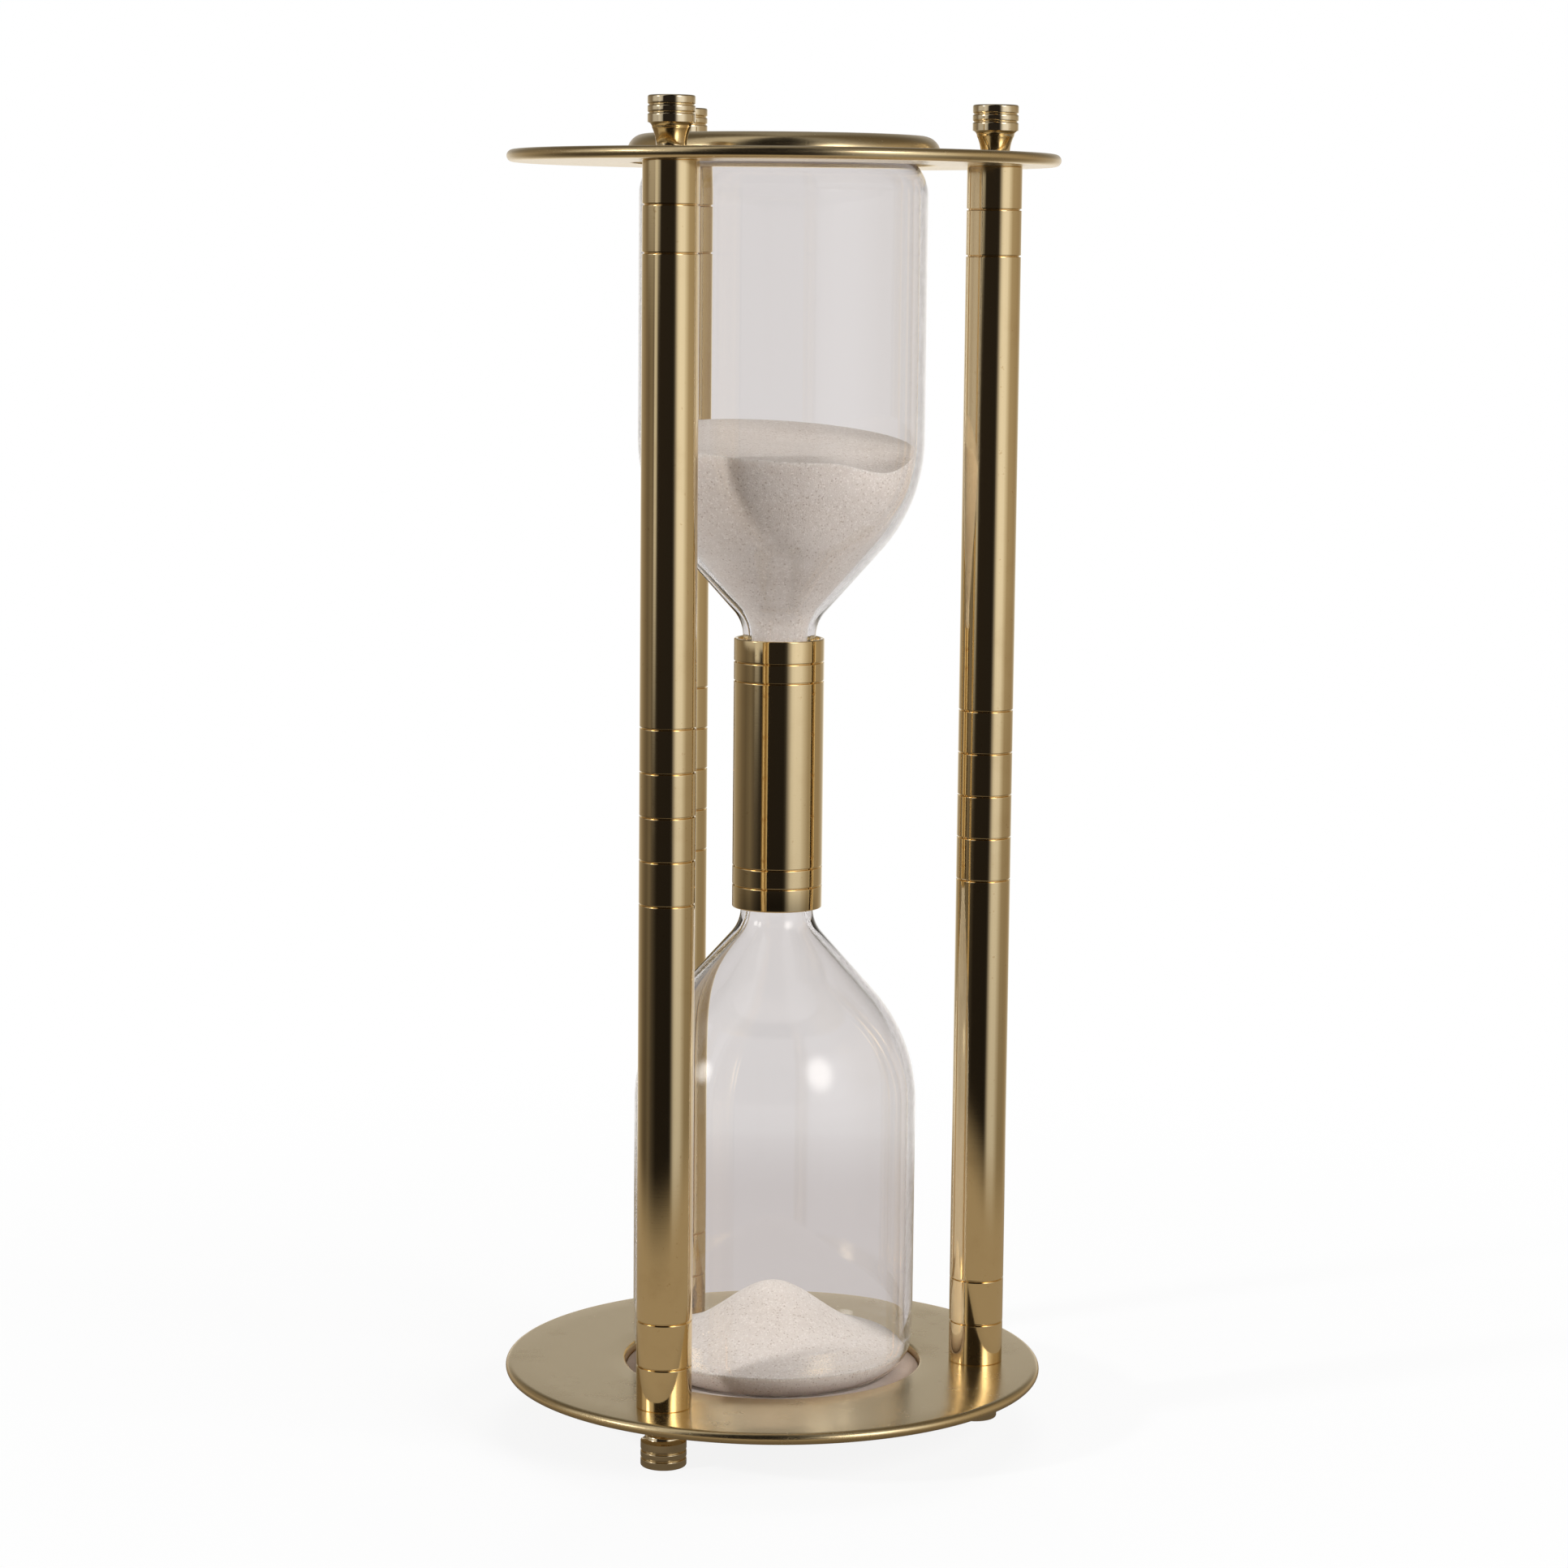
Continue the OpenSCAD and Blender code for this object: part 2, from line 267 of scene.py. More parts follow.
# sand
sand = {
    "colour": (0.66, 0.595, 0.55),
    "pale": (0.86, 0.81, 0.77),
    "dark": (0.34, 0.25, 0.20),
    "grain": 0.32 * mm,
    "grainDepth": 0.12 * mm,
    "soak": 4 * mm,  # how far light travels among the grains
    "soakShare": 0.7,
    "soakColour": (1.0, 0.96, 0.92),
    "beds": (14, 14, 150),  # faint beds left by the pouring
    "clumpScale": 700,
    "driftShare": 0.35,
    "paleShare": 0.7,
    "darkShare": 0.55,
}


def makeSand(name):
    p = newPaint(name)
    spot = p.place()
    perMetre = 1 / sand["grain"]
    cells = p.node("ShaderNodeTexVoronoi", None, {"Vector": spot, "Scale": perMetre})
    pick = p.node("ShaderNodeTexVoronoi", None, {"Vector": spot, "Scale": perMetre}, out="Color")
    paleGrains, darkGrains = [
        p.node("ShaderNodeSeparateColor", None, {"Color": pick}, out=channel) for channel in ("Red", "Green")
    ]
    layers = p.noise(p.place(sand["beds"]), 1, 3, 0.6)
    clumps = p.noise(spot, sand["clumpScale"], 3, 0.7)
    drift = p.smooth(layers * 0.6 + clumps * 0.4, 0.36, 0.64)
    colour = p.colourMix(drift * sand["driftShare"], sand["colour"], sand["pale"])
    colour = p.colourMix(p.smooth(paleGrains, 0.75, 0.98) * sand["paleShare"], colour, sand["pale"])
    colour = p.colourMix(p.smooth(darkGrains, 0.93, 0.98) * sand["darkShare"], colour, sand["dark"])
    shader = p.node(
        "ShaderNodeBsdfPrincipled",
        None,
        {
            "Base Color": colour,
            "Roughness": 0.95,
            "Specular IOR Level": 0.2,
            "Subsurface Weight": sand["soakShare"],
            "Subsurface Radius": sand["soakColour"],
            "Subsurface Scale": sand["soak"],
            "Normal": p.bump(clumps * 1.6 - cells, sand["grainDepth"], 0.7),
        },
    )
    return p.finish(shader)


# felt of the cup pads
felt = {
    "colour": (0.70, 0.52, 0.40),
    "fibre": (0.82, 0.66, 0.54),
    "fibreScale": 2600,
    "fibreDepth": 0.12 * mm,
    "cloudScale": 200,
}


def makeFelt(name):
    p = newPaint(name)
    spot = p.place()
    fibres = p.noise(spot, felt["fibreScale"], 4, 0.7)
    clouds = p.noise(spot, felt["cloudScale"], 3, 0.5)
    fibreShare = p.smooth(fibres * 0.7 + clouds * 0.3, 0.35, 0.7)
    colour = p.colourMix(fibreShare, felt["colour"], felt["fibre"])
    shader = p.node(
        "ShaderNodeBsdfPrincipled",
        None,
        {
            "Base Color": colour,
            "Roughness": 0.95,
            "Sheen Weight": 0.3,
            "Normal": p.bump(fibres, felt["fibreDepth"], 0.6),
        },
    )
    return p.finish(shader)


# small inner pieces: one plain recipe with its own grain for each
def makePlain(name, colour, other, scale, roughness, metallic, depth):
    p = newPaint(name)
    grain = p.noise(p.place(), scale, 4, 0.6)
    shader = p.node(
        "ShaderNodeBsdfPrincipled",
        None,
        {
            "Base Color": p.colourMix(p.smooth(grain, 0.3, 0.7), colour, other),
            "Metallic": metallic,
            "Roughness": roughness + (grain - 0.5) * 0.15,
            "Normal": p.bump(grain, depth),
        },
    )
    return p.finish(shader)


deep, pale, turned, sheet = brass["colour"], brass["pale"], brass["turnedDepth"], brass["sheetDepth"]
pillarBrass = makeBrass("pillarBrass", deep, brass["polished"], (30, 30, 6000), 1.0, turned)
# the knobs and feet take the paler brass, a painted highlight of the lamps they mirror
finialBrass = makeBrass("finialBrass", pale, brass["polished"], (40, 40, 7000), 1.0, turned)
sleeveBrass = makeBrass("sleeveBrass", deep, brass["polished"], (30, 30, 6000), 0.8, turned)
plateBrass = makeBrass("plateBrass", deep, brass["satin"], (900, 120, 900), 0.7, sheet)
plugBrass = makePlain("plugBrass", (0.70, 0.52, 0.28), (0.55, 0.38, 0.18), 900, 0.4, 1.0, 0.01 * mm)
studSteel = makePlain("studSteel", (0.62, 0.61, 0.58), (0.45, 0.43, 0.40), 1200, 0.35, 1.0, 0.01 * mm)
discMetal = makePlain("discMetal", (0.78, 0.78, 0.80), (0.64, 0.64, 0.66), 1500, 0.35, 1.0, 0.01 * mm)
bindingTape = makePlain("bindingTape", (0.82, 0.78, 0.68), (0.70, 0.65, 0.55), 1800, 0.8, 0.0, 0.05 * mm)
sealRubber = makePlain("sealRubber", (0.05, 0.045, 0.04), (0.09, 0.08, 0.075), 1400, 0.75, 0.0, 0.03 * mm)
clearGlass = makeGlass("clearGlass")
paleSand = makeSand("paleSand")
padFelt = makeFelt("padFelt")
print("materials made")


# turned shapes
def arc(centreX, centreZ, radius, start, end, steps):
    points = []
    for i in range(steps + 1):
        angle = math.radians(start + (end - start) * i / steps)
        points.append((centreX + radius * math.cos(angle), centreZ + radius * math.sin(angle)))
    return points


# points of a hollow curve that leaves the line r = r0 smoothly at height z0 and ends at (r1, z1)
def flare(r0, z0, r1, z1, steps):
    width, height = r1 - r0, z1 - z0
    radius = (width * width + height * height) / (2 * width)
    end = 180 - math.degrees(math.acos((radius - width) / radius))
    return arc(r0 + radius, z0, radius, 180, end, steps)


# a groove in a wall of radius r, entered going up, with its two edges softened
def groove(r, z, width, depth, soft):
    half = width / 2
    return [
        (r, z - half - soft * 4),
        (r, z - half - soft),
        (r - soft * 0.3, z - half - soft * 0.3),
        (r - depth * 0.6, z - half * 0.7),
        (r - depth, z - half * 0.25),
        (r - depth, z + half * 0.25),
        (r - depth * 0.6, z + half * 0.7),
        (r - soft * 0.3, z + half + soft * 0.3),
        (r, z + half + soft),
        (r, z + half + soft * 4),
    ]


# draws an outline of (radius, height) points from one point, vertex by vertex, and spins it round
def turn(name, outline, centre, steps, closed=False):
    points = outline + outline[:1] if closed else outline
    bpy.ops.object.select_all(action="DESELECT")
    bpy.ops.mesh.primitive_plane_add(size=mm)
    piece = bpy.context.object
    piece.name = piece.data.name = name
    bpy.ops.object.mode_set(mode="EDIT")
    bpy.ops.mesh.select_all(action="SELECT")
    bpy.ops.mesh.merge(type="CENTER")
    bpy.ops.transform.translate(value=(centre[0] + points[0][0], centre[1], points[0][1]))
    for (r0, z0), (r1, z1) in zip(points, points[1:]):
        bpy.ops.mesh.extrude_region_move(TRANSFORM_OT_translate={"value": (r1 - r0, 0, z1 - z0)})
    bpy.ops.mesh.select_all(action="SELECT")
    bpy.ops.mesh.spin(steps=steps, angle=2 * math.pi, center=(*centre[:2], 0), axis=(0, 0, 1))
    bpy.ops.mesh.select_all(action="SELECT")
    bpy.ops.mesh.remove_doubles(threshold=0.002 * mm)
    bpy.ops.mesh.normals_make_consistent(inside=False)
    bpy.ops.object.mode_set(mode="OBJECT")
    return piece


# another of a turned piece, moved sideways, and turned over about the waist for the hourglass's other end
def another(piece, name, across=(0, 0), over=False):
    bpy.ops.object.select_all(action="DESELECT")
    piece.select_set(True)
    bpy.context.view_layer.objects.active = piece
    bpy.ops.object.duplicate(linked=False)
    copy = bpy.context.object
    copy.name = copy.data.name = name
    bpy.ops.object.mode_set(mode="EDIT")
    bpy.ops.mesh.select_all(action="SELECT")
    if over:
        bpy.ops.transform.rotate(value=math.pi, orient_axis="X", center_override=(0, 0, waistHeight))
    bpy.ops.transform.translate(value=(*across, 0))
    bpy.ops.object.mode_set(mode="OBJECT")
    return copy


# gives a finished piece its material and its body, and hides the nodes that it stands for
def settle(piece, material, body, slotName, *nodes, angle=35):
    bpy.ops.object.select_all(action="DESELECT")
    piece.select_set(True)
    bpy.context.view_layer.objects.active = piece
    bpy.ops.object.transform_apply(location=True, rotation=True, scale=True)
    bpy.ops.object.shade_smooth_by_angle(angle=math.radians(angle))
    piece.data.materials.clear()
    piece.data.materials.append(material)
    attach(piece, body)
    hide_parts(*nodes)


# plates
plate = {
    "sheet": 1.0 * mm,
    "bead": 1.4 * mm,
    "cup": halfWidth("lower_bulb") + 1.8 * mm,
    "cupDepth": 5.8 * mm,
    "cupEdge": 3.2 * mm,
    "lip": 0.8 * mm,
    "root": 0.7 * mm,  # hollow curve where the cup's outside leaves the sheet
    "cupRings": (6 * mm, 14 * mm),  # rings of the flat face, out from the cup's mouth
    "rimRing": 6 * mm,  # and in from the bead
    "steps": 288,
}


# outline heights are distances out from the plate's inner face
def makePlates():
    sheet, bead, cup = plate["sheet"], plate["bead"], plate["cup"]
    depth, edge, lip, root = plate["cupDepth"], plate["cupEdge"], plate["lip"], plate["root"]
    rim = halfWidth("bottom_plate") - bead
    outside = cup + sheet
    meet = 180 + math.degrees(math.asin((bead - sheet) / bead))
    outline = [(0, depth), (cup * 0.5, depth)]
    outline += arc(cup - edge, depth - edge, edge, 90, 0, 10)
    outline += arc(cup + lip, lip, lip, 180, 270, 6)
    outline += [(cup + out, 0) for out in plate["cupRings"]]
    outline += [(rim - plate["rimRing"], 0)]
    outline += arc(rim, bead, bead, -90, meet, 26)
    outline += [(rim - plate["rimRing"], sheet)]
    outline += arc(outside + root, sheet + root, root, 270, 180, 5)
    outline += arc(outside - edge - sheet, depth - edge, edge + sheet, 0, 90, 12)
    outline += [(outside * 0.5, depth + sheet), (0, depth + sheet)]
    placed = [(r, bottomFace - z) for r, z in outline]
    bottom = turn("bottom_plateBrass", placed, (0, 0), plate["steps"])
    top = another(bottom, "top_plateBrass", over=True)
    settle(bottom, plateBrass, "frame", "plate_brass", "bottom_plate")
    settle(top, plateBrass, "frame", "plate_brass", "top_plate")


makePlates()
print("plates made")


# pillars
pillar = {
    "bore": 5.0 * mm,
    "grooveWidth": 0.42 * mm,
    "grooveDepth": 0.42 * mm,
    "soft": 0.05 * mm,
    "endGrooves": (10.0 * mm, 20.8 * mm),
    "midPitch": 10.2 * mm,
    "midCount": 5,
    "midRise": -4.6 * mm,
    "chamfer": 0.15 * mm,
    "steps": 144,
}


def makePillars():
    r, chamfer = halfWidth("right_pillar"), pillar["chamfer"]
    heights = [bottomFace + d for d in pillar["endGrooves"]] + [topFace - d for d in pillar["endGrooves"]]
    middleHeight = (bottomFace + topFace) / 2 + pillar["midRise"]
    offset = (pillar["midCount"] - 1) / 2
    heights += [middleHeight + (i - offset) * pillar["midPitch"] for i in range(pillar["midCount"])]
    outline = [(pillar["bore"], bottomFace), (r - chamfer, bottomFace), (r, bottomFace + chamfer)]
    outline += [(r, bottomFace + chamfer * 2)]
    for z in sorted(heights):
        outline += groove(r, z, pillar["grooveWidth"], pillar["grooveDepth"], pillar["soft"])
    outline += [(r, topFace - chamfer * 2), (r, topFace - chamfer)]
    outline += [(r - chamfer, topFace), (pillar["bore"], topFace)]
    first = turn("rightPillarBrass", outline, middle("right_pillar"), pillar["steps"], closed=True)
    pieces = [first]
    for side in sides[1:]:
        pieces.append(another(first, side + "PillarBrass", between("right_pillar", side + "_pillar")))
    for side, piece in zip(sides, pieces):
        settle(piece, pillarBrass, "frame", "polished_brass", side + "_pillar")


makePillars()
print("pillars made")


# knobs and feet
finial = {
    "head": 6.0 * mm,
    "neck": 3.45 * mm,
    "neckStraight": 2.0 * mm,
    "crease": 4.4 * mm,
    "cove": 1.2 * mm,
    "edge": 0.5 * mm,
    "bore": 2.05 * mm,
    "boreDepth": 8.4 * mm,
    "grooves": (0.66, 0.36),  # shares of the head, from its outer end
    "grooveWidth": 0.5 * mm,
    "grooveDepth": 0.3 * mm,
    "soft": 0.1 * mm,
    "chamfer": 0.2 * mm,
    "steps": 144,
}


# outline heights are distances out from the plate; the feet are drawn, and the knobs are feet turned over
def makeFinials():
    low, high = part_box("right_foot")
    r = halfWidth("right_foot")
    length = high[2] - low[2]
    head = length - finial["head"]
    crease = head - finial["cove"]
    outline = [(0, finial["boreDepth"]), (finial["bore"], finial["boreDepth"]), (finial["bore"], 0)]
    outline += [(finial["neck"] - finial["chamfer"], 0), (finial["neck"], finial["chamfer"])]
    outline += flare(finial["neck"], finial["neckStraight"], finial["crease"], crease, 12)
    outline += flare(finial["crease"], crease, r, head, 8)[1:]
    for share in finial["grooves"]:
        z = length - finial["head"] * share
        outline += groove(r, z, finial["grooveWidth"], finial["grooveDepth"], finial["soft"])
    outline += arc(r - finial["edge"], length - finial["edge"], finial["edge"], 0, 90, 6)
    outline += [(0, length)]
    placed = [(a, high[2] - z) for a, z in outline]
    first = turn("right_footBrass", placed, middle("right_foot"), finial["steps"])
    pieces = {"right_foot": first}
    for kind in ("foot", "knob"):
        for side in sides:
            node = f"{side}_{kind}"
            if node not in pieces:
                across = between("right_foot", node)
                pieces[node] = another(first, node + "Brass", across, over=kind == "knob")
    for node, piece in pieces.items():
        settle(piece, finialBrass, node, "polished_brass", node)


makeFinials()
print("knobs and feet made")


# sleeve over the waist
sleeve = {
    "wall": 0.9 * mm,
    "grooves": (5.5 * mm, 10.1 * mm),
    "grooveWidth": 0.4 * mm,
    "grooveDepth": 0.38 * mm,
    "soft": 0.05 * mm,
    "edge": 0.3 * mm,
    "steps": 192,
}


def makeSleeve():
    low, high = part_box("waist_sleeve")
    r, edge = halfWidth("waist_sleeve"), sleeve["edge"]
    bore = r - sleeve["wall"]
    outline = [(bore, low[2] + edge)]
    outline += arc(bore + edge, low[2] + edge, edge, 180, 270, 3)[1:]
    outline += arc(r - edge, low[2] + edge, edge, 270, 360, 4)
    heights = [low[2] + d for d in sleeve["grooves"]] + [high[2] - d for d in reversed(sleeve["grooves"])]
    for z in heights:
        outline += groove(r, z, sleeve["grooveWidth"], sleeve["grooveDepth"], sleeve["soft"])
    outline += arc(r - edge, high[2] - edge, edge, 0, 90, 4)
    outline += arc(bore + edge, high[2] - edge, edge, 90, 180, 3)
    piece = turn("waistSleeveBrass", outline, (0, 0), sleeve["steps"], closed=True)
    settle(piece, sleeveBrass, "frame", "polished_brass", "waist_sleeve")


makeSleeve()
print("sleeve made")


# bulbs: one outline, used for the glass and for the sand against it
bulb = {
    "radius": halfWidth("upper_bulb"),
    "length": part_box("upper_bulb")[1][2] - waistHeight,
    "wall": 2.0 * mm,
    "endWall": 0.9 * mm,
    "waist": 8.7 * mm,
    "neck": 32.8 * mm,
    "coneAngle": 41.5,
    "waistCurve": 9 * mm,
    "shoulder": 40 * mm,
    "endCurve": 11 * mm,
    "cornerThins": 0.6,  # share of the end curve's height by which the wall is at its thinnest
    "discGap": 0.5 * mm,
    "steps": 224,
}


# the side of a bulb as (radius, distance from the waist) points, moved inwards by inset,
# and by endInset at its closed end
def bulbSide(inset, endInset):
    cone, curve, shoulder = bulb["coneAngle"], bulb["waistCurve"], bulb["shoulder"]
    angle = math.radians(cone)
    curveX = bulb["waist"] + curve
    coneStartR = curveX - curve * math.cos(angle)
    coneStartH = bulb["neck"] + curve * math.sin(angle)
    coneEndR = bulb["radius"] - shoulder * (1 - math.cos(angle))
    coneEndH = coneStartH + (coneEndR - coneStartR) / math.tan(angle)
    shoulderH = coneEndH + shoulder * math.sin(angle)
    endH = bulb["length"] - bulb["endCurve"]
    points = arc(curveX, bulb["neck"], curve + inset, 180, 180 - cone, 14)
    points += arc(bulb["radius"] - shoulder, shoulderH, shoulder - inset, -cone, 0, 24)
    straight = points[-1]
    points += [(straight[0], straight[1] + (endH - straight[1]) * i / 8) for i in range(1, 8)]
    for r, h in arc(0, 0, 1, 0, 90, 18):
        thin = min(1, h / bulb["cornerThins"])  # the wall thins as it turns into the end
        corner = bulb["endCurve"] - inset - (endInset - inset) * thin
        points.append((bulb["radius"] - bulb["endCurve"] + corner * r, endH + corner * h))
    return points


def makeBulbs():
    wall, endWall, length, waist = bulb["wall"], bulb["endWall"], bulb["length"], bulb["waist"]
    outer, inner = bulbSide(0, 0), bulbSide(wall, endWall)
    outline = [(0, length), (outer[-1][0] * 0.5, length)] + outer[::-1]
    outline += [(waist, bulb["discGap"]), (waist - wall, bulb["discGap"])] + inner
    outline += [(inner[-1][0] * 0.5, length - endWall), (0, length - endWall)]
    placed = [(r, waistHeight + h) for r, h in outline]
    upper = turn("upper_bulbGlass", placed, (0, 0), bulb["steps"])
    lower = another(upper, "lower_bulbGlass", over=True)
    settle(upper, clearGlass, "frame", "clear_glass", "upper_bulb", angle=60)
    settle(lower, clearGlass, "frame", "clear_glass", "lower_bulb", angle=60)


makeBulbs()
print("bulbs made")


# sand in the lower bulb: a heap with its foot against the glass
heap = {
    "gap": 0.1 * mm,
    "edge": 5.4 * mm,  # depth of sand at the glass
    "peak": 15.3 * mm,  # height of the middle above that
    "share": 0.72,  # how much of it is a bell, and the rest a low dome
    "spread": 0.48,
    "rings": 48,
    "steps": 160,
}


def heapHeight(t):
    bell = math.exp(-((t / heap["spread"]) ** 2))
    foot = math.exp(-((1 / heap["spread"]) ** 2))
    return heap["peak"] * (heap["share"] * (bell - foot * t) + (1 - heap["share"]) * (1 - t * t))


def makeLowerSand():
    inset = bulb["wall"] + heap["gap"]
    floor = bulb["length"] - bulb["endWall"] - heap["gap"]
    room = bulb["radius"] - inset
    top = bulb["length"] - inset - heap["edge"]
    side = [p for p in bulbSide(inset, bulb["endWall"] + heap["gap"]) if p[1] > top]
    outline = [(0, floor), (side[-1][0] * 0.5, floor)] + side[::-1]
    for i in range(heap["rings"], -1, -1):
        t = i / heap["rings"]
        outline.append((room * t, top - heapHeight(t)))
    placed = [(r, waistHeight - h) for r, h in outline]
    piece = turn("lowerSandHeap", placed, (0, 0), heap["steps"])
    settle(piece, paleSand, "frame", "sand", "lower_sand", angle=60)


makeLowerSand()
print("lower sand made")


# sand in the upper bulb: fills the neck and cone, with a leaning, dished surface
upperSand = {
    "gap": 0.1 * mm,
    "height": 79.3 * mm,
    "spare": 12 * mm,  # drawn above that, and cut off by the leaning surface
    "slopeFront": 6,
    "slopeSide": 3,
    "inset": 2.0 * mm,
    "rings": 14,
    "steps": 160,
    # where the surface has slumped: place, reach of the pull, and how far it goes
    "hollows": (
        ((25 * mm, -20 * mm, 232 * mm), 17 * mm, (-0.12 * mm, 0.1 * mm, -3.0 * mm)),
        ((4 * mm, 6 * mm, 236 * mm), 15 * mm, (0, 0, -1.2 * mm)),
    ),
}


# moves the vertex of a piece in edit mode that is nearest to a spot, and those round it with it
def pull(piece, spot, size, move):
    bpy.ops.mesh.select_all(action="DESELECT")
    bpy.ops.object.mode_set(mode="OBJECT")
    nearest = min(piece.data.vertices, key=lambda v: (v.co - Vector(spot)).length)
    nearest.select = True
    bpy.ops.object.mode_set(mode="EDIT")
    bpy.ops.transform.translate(
        value=move, use_proportional_edit=True, proportional_edit_falloff="SMOOTH", proportional_size=size
    )


def makeUpperSand():
    inset = bulb["wall"] + upperSand["gap"]
    limit = upperSand["height"] + upperSand["spare"]
    side = [p for p in bulbSide(inset, inset) if p[1] < limit]
    neck = bulb["waist"] - inset
    start = bulb["discGap"] + upperSand["gap"]
    outline = [(0, start), (neck, start)] + side + [(side[-1][0], limit), (0, limit)]
    placed = [(r, waistHeight + h) for r, h in outline]
    piece = turn("upperSandFill", placed, (0, 0), upperSand["steps"])
    level = Matrix.Rotation(math.radians(upperSand["slopeSide"]), 3, "Y")
    level = level @ Matrix.Rotation(math.radians(upperSand["slopeFront"]), 3, "X")
    bpy.ops.object.mode_set(mode="EDIT")
    bpy.ops.mesh.select_all(action="SELECT")
    bpy.ops.mesh.bisect(
        plane_co=(0, 0, waistHeight + upperSand["height"]),
        plane_no=level @ Vector((0, 0, 1)),
        use_fill=True,
        clear_outer=True,
    )
    for i in range(upperSand["rings"]):
        bpy.ops.mesh.inset(thickness=upperSand["inset"])
    for spot, size, move in upperSand["hollows"]:
        pull(piece, spot, size, move)
    bpy.ops.object.mode_set(mode="OBJECT")
    settle(piece, paleSand, "frame", "sand", "upper_sand", angle=60)


makeUpperSand()
print("upper sand made")


# pads in the cups: pressed by the bulbs, so that they lie round the glass like a shallow dish
pad = {
    "rim": 1.8 * mm,  # how far the dish's edge stands above the seat of the glass
    "slack": 0.06 * mm,
    "corner": 3.1 * mm,
    "soft": 0.3 * mm,
    "steps": 160,
}


def makePads():
    low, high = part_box("lower_cup_pad")
    height = high[2] - low[2]
    slack, corner, soft = pad["slack"], pad["corner"], pad["soft"]
    curve = bulb["endCurve"] + slack
    turnsIn = bulb["radius"] - bulb["endCurve"]
    start = math.degrees(math.asin((curve - pad["rim"]) / curve))
    wide = plate["cup"] - slack * 2
    top = height + pad["rim"]
    outline = [(0, 0), (turnsIn, 0)]
    outline += arc(wide - corner, corner, corner, 270, 360, 8)
    outline += arc(wide - soft, top - soft, soft, 0, 90, 3)
    outline += [((turnsIn + curve + wide) / 2, top)]
    outline += arc(turnsIn, height + curve - slack, curve, -start, -90, 12)
    outline += [(turnsIn * 0.5, height - slack), (0, height - slack)]
    placed = [(r, low[2] + z) for r, z in outline]
    lower = turn("lower_cup_padFelt", placed, (0, 0), pad["steps"])
    upper = another(lower, "upper_cup_padFelt", over=True)
    settle(lower, padFelt, "frame", "cork", "lower_cup_pad")
    settle(upper, padFelt, "frame", "cork", "upper_cup_pad")


makePads()
print("pads made")


# the inner pieces keep their frame shapes and get their finishes
def finishNode(node, material):
    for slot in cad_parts[node].material_slots:
        slot.material = material


for side in sides:
    for end in ("bottom", "top"):
        finishNode(f"{side}_{end}_plug", plugBrass)
    for kind in ("foot", "knob"):
        finishNode(f"{side}_{kind}_stud", studSteel)
finishNode("orifice_disc", discMetal)
finishNode("neck_binding", bindingTape)
finishNode("upper_spacer_ring", sealRubber)
finishNode("lower_spacer_ring", sealRubber)
print("inner pieces finished")


# stage: a pale floor, soft lamps and the studio that the brass reflects
# bearings are degrees right of the camera's side
studio = {
    "white": (1, 1, 1),
    "softLight": (0.12, 0.12, 0.118),  # what reaches the matt pieces from all round
    "brassGlow": (0.42, 0.41, 0.395),  # and by way of the brass
    "lampDistance": 1.3,
    "lampAim": (0, 0, 160 * mm),
    # name, bearing, height angle, diameter, power
    "lamps": (
        ("keyLamp", 56, 22, 0.80, 14.5),
        ("sideLamp", -63, 18.5, 0.12, 10.5),
        ("backLamp", 172, 40, 0.80, 7.5),
    ),
    # the soft bright middles of the two front lamps in mirrors: bearing, height angle, reach, strength
    "glints": ((42, 23, 19, 4.0), (-67, 18.5, 11, 6.0)),
    "glintTint": (1, 0.97, 0.93),
    # pale screens on the left: bearings of the two soft edges, sine of the height of the lower edge, colour
    "screens": (
        ((-65.5, -61.2), (-55.8, -45), (-0.14, -0.06), (0.72, 0.70, 0.67)),
        ((-108, -90), (-45, -36), (-0.03, 0.05), (0.62, 0.60, 0.57)),
    ),
    "screenShare": 0.8,
    "frontToBack": (0.2, 0.9),  # how far back a direction points where the front fades into the back
}

# what shows through the glass
backdrop = {
    "front": (0.48, 0.455, 0.44),
    "top": (0.76, 0.732, 0.728),
    "frontToTop": (0.2, 0.7),
    "rise": (0.03, 0.12),  # sine of the height where the wall ends
    "high": (0.66, 0.635, 0.63),
    "low": (0.60, 0.563, 0.558),
    "edge": 0.31,  # distance on the table where low meets high
    "edgeBlur": 0.03,
}

table = {
    "size": 8.0,
    "mirrored": (0.36, 0.30, 0.22),
    "mirroredUnder": (0.13, 0.105, 0.075),  # in the object's own shadow
    "underReach": (55 * mm, 130 * mm),
    "mirroredReach": (220 * mm, 360 * mm),  # where the table ends in mirrors
    "shadowShare": 0.12,
    "shadowReach": (50 * mm, 450 * mm),
    "matt": (0.9, 0.9, 0.9),
}

# what each bearing shows in a mirror
studioRound = (
    (-180, (1.0, 0.98, 0.95)),
    (-165, (0.90, 0.87, 0.83)),
    (-150, (0.45, 0.41, 0.35)),
    (-135, (0.34, 0.29, 0.22)),
    (-106, (0.19, 0.155, 0.115)),
    (-92, (0.14, 0.115, 0.085)),
    (-75, (0.20, 0.17, 0.13)),
    (-62, (0.10, 0.085, 0.07)),
    (-50, (0.05, 0.043, 0.036)),
    (-40, (0.022, 0.018, 0.015)),
    (14, (0.020, 0.017, 0.015)),
    (20, (0.05, 0.045, 0.04)),
    (28, (0.42, 0.40, 0.38)),
    (35, (0.80, 0.79, 0.78)),
    (44, (0.90, 0.89, 0.89)),
    (60, (0.86, 0.85, 0.84)),
    (70, (0.66, 0.62, 0.56)),
    (84, (0.42, 0.36, 0.27)),
    (128, (0.34, 0.275, 0.19)),
    (150, (0.45, 0.41, 0.35)),
    (165, (0.90, 0.87, 0.83)),
    (180, (1.0, 0.98, 0.95)),
)

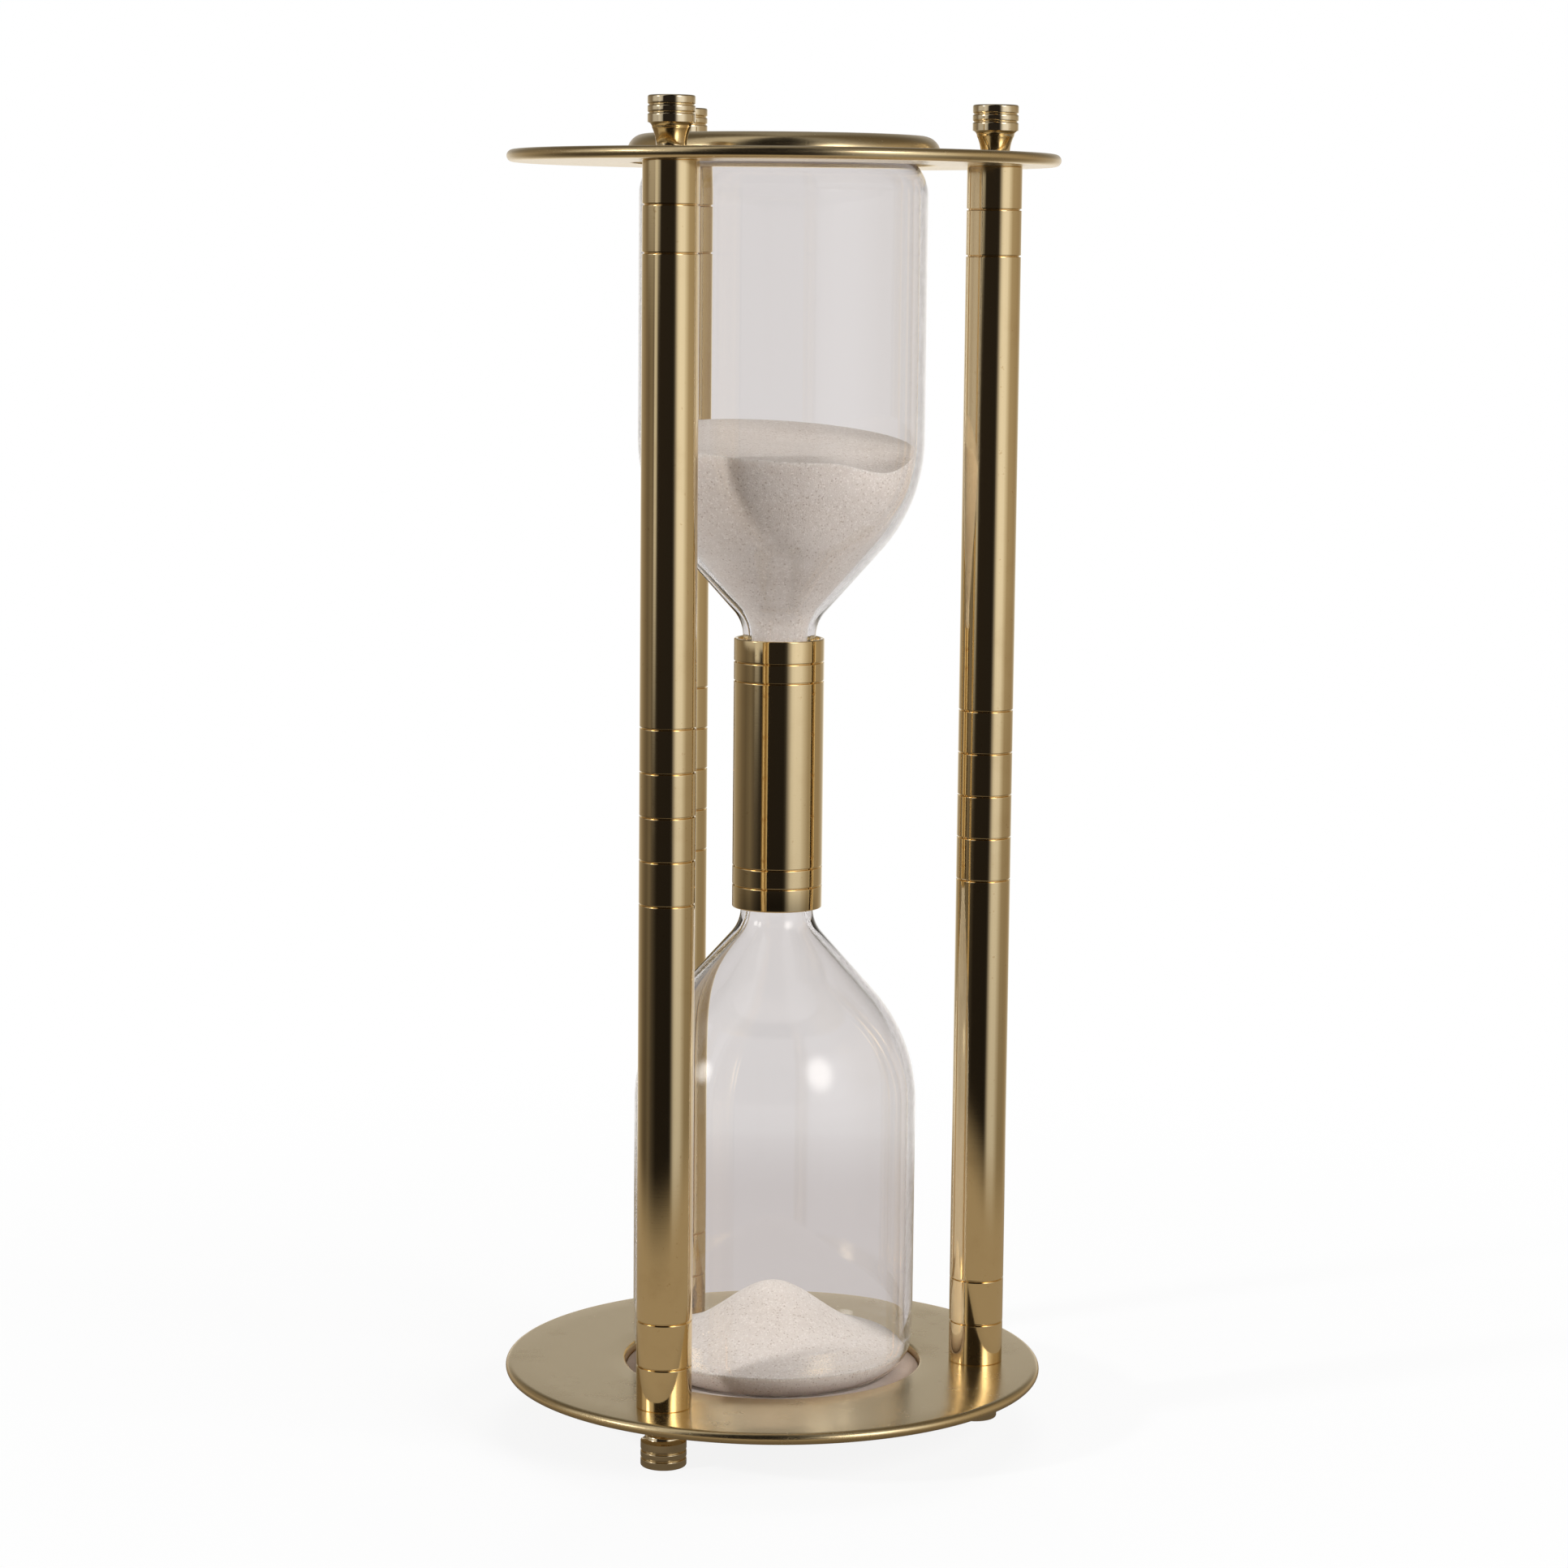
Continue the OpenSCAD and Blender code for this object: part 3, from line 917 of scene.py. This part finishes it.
# how those fade with height, as (half the sine of the height + a half, share), in front and behind
riseFront = ((0.0, 0.35), (0.34, 0.42), (0.40, 0.66), (0.46, 1.0), (0.72, 1.0), (0.80, 0.4), (1.0, 0.3))
riseBack = (
    (0.0, 0.8),
    (0.40, 1.0),
    (0.51, 1.05),
    (0.55, 0.75),
    (0.60, 0.48),
    (0.66, 0.42),
    (0.74, 0.25),
    (1.0, 0.15),
)


def bearingVector(bearing, rise):
    across = math.cos(math.radians(rise))
    angle = math.radians(bearing)
    return (across * math.sin(angle), -across * math.cos(angle), math.sin(math.radians(rise)))


def greyStops(rows):
    return [(place, (share, share, share)) for place, share in rows]


# the studio as the brass mirrors it
def mirroredStudio(p, direction):
    x, y, z = [p.node("ShaderNodeSeparateXYZ", None, {0: direction}, out=axis) for axis in "XYZ"]
    bearing = p.maths("ARCTAN2", x, y * -1) * math.degrees(1)
    stops = [(degrees / 360 + 0.5, colour) for degrees, colour in studioRound]
    ring = p.node("ShaderNodeValToRGB", {"stops": stops}, {0: bearing * (1 / 360) + 0.5})
    height = z * 0.5 + 0.5
    front = p.node("ShaderNodeValToRGB", {"stops": greyStops(riseFront)}, {0: height})
    behind = p.node("ShaderNodeValToRGB", {"stops": greyStops(riseBack)}, {0: height})
    fade = p.colourMix(p.smooth(y, *studio["frontToBack"]), front, behind)
    seen = p.colourMix(1.0, ring, fade, "MULTIPLY")
    for opens, closes, sill, colour in studio["screens"]:
        screen = p.smooth(bearing, *opens) * (1 - p.smooth(bearing, *closes)) * p.smooth(z, *sill)
        seen = p.colourMix(screen * studio["screenShare"], seen, colour)
    for lampBearing, rise, reach, strength in studio["glints"]:
        sockets = {0: direction, 1: bearingVector(lampBearing, rise)}
        towards = p.node("ShaderNodeVectorMath", {"operation": "DOT_PRODUCT"}, sockets, out="Value")
        near = p.smooth(towards, math.cos(math.radians(reach)), 1.0)
        seen = p.colourMix(near * near * near, seen, [strength * part for part in studio["glintTint"]])
    return seen


def makeWorld():
    world = bpy.data.worlds.new("studio")
    bpy.context.scene.world = world
    p = Paint(world)
    direction = p.node("ShaderNodeTexCoord", out="Generated")
    y, z = [p.node("ShaderNodeSeparateXYZ", None, {0: direction}, out=axis) for axis in "YZ"]
    mirrored = mirroredStudio(p, direction)
    wall = p.colourMix(p.smooth(y, *backdrop["frontToTop"]), backdrop["front"], backdrop["top"])
    behind = p.colourMix(p.smooth(z, *backdrop["rise"]), wall, mirrored)
    camera, glossy, through = [p.ray(f"Is {kind} Ray") for kind in ("Camera", "Glossy", "Transmission")]
    colour = p.colourMix(glossy, studio["softLight"], mirrored)
    colour = p.colourMix(through, colour, behind)
    bounced = p.maths("GREATER_THAN", p.ray("Diffuse Depth"), 0.5)
    bouncedColour = p.colourMix(glossy, studio["softLight"], studio["brassGlow"])
    colour = p.colourMix(bounced, colour, bouncedColour)
    colour = p.colourMix(camera, colour, studio["white"])
    p.finish(p.node("ShaderNodeBackground", None, {"Color": colour, "Strength": 1.0}))


def makeFloor():
    bpy.ops.object.select_all(action="DESELECT")
    bpy.ops.mesh.primitive_plane_add(size=table["size"])
    floor = bpy.context.object
    floor.name = "floor"
    p = newPaint("paleFloor")
    spot = p.node("ShaderNodeTexCoord", out="Object")
    reach = p.node("ShaderNodeVectorMath", {"operation": "LENGTH"}, {0: spot}, out="Value")
    camera, glossy, through = [p.ray(f"Is {kind} Ray") for kind in ("Camera", "Glossy", "Transmission")]
    edge, blur = backdrop["edge"], backdrop["edgeBlur"]
    far = p.smooth(reach, edge * (1 - blur), edge * (1 + blur))
    mirrored = p.colourMix(p.smooth(reach, *table["underReach"]), table["mirroredUnder"], table["mirrored"])
    glow = p.colourMix(glossy, studio["softLight"], mirrored)
    glow = p.colourMix(through, glow, p.colourMix(far, backdrop["low"], backdrop["high"]))
    glow = p.colourMix(camera, glow, studio["white"])
    shine = p.node("ShaderNodeEmission", None, {"Color": glow})
    matt = p.node("ShaderNodeBsdfDiffuse", None, {"Color": (*table["matt"], 1)})
    near = 1 - p.smooth(reach, *table["shadowReach"])
    shadow = camera * near * table["shadowShare"]
    surface = p.node("ShaderNodeMixShader", None, {0: shadow, 1: shine, 2: matt})
    beyond = p.smooth(reach, *table["mirroredReach"])
    under = p.node("ShaderNodeNewGeometry", out="Backfacing")
    clear = p.maths("MAXIMUM", glossy * beyond, camera * under)  # far off in mirrors, and seen from below
    gone = p.node("ShaderNodeBsdfTransparent")
    surface = p.node("ShaderNodeMixShader", None, {0: clear, 1: surface, 2: gone})
    floor.data.materials.append(p.finish(surface))


def makeLamps():
    away = Matrix.Translation((0, 0, studio["lampDistance"]))
    for name, bearing, rise, width, power in studio["lamps"]:
        data = bpy.data.lights.new(name, "AREA")
        data.shape = "DISK"
        data.size = width
        data.energy = power
        lamp = bpy.data.objects.new(name, data)
        bpy.context.collection.objects.link(lamp)
        swing = Matrix.Rotation(math.radians(bearing), 4, "Z")
        tip = Matrix.Rotation(math.radians(90 - rise), 4, "X")
        lamp.matrix_world = Matrix.Translation(studio["lampAim"]) @ swing @ tip @ away
        lamp.visible_glossy = False
        lamp.visible_transmission = False
        lamp.visible_camera = False


makeWorld()
makeFloor()
makeLamps()
bpy.context.scene.view_settings.view_transform = "Standard"
print("stage set")
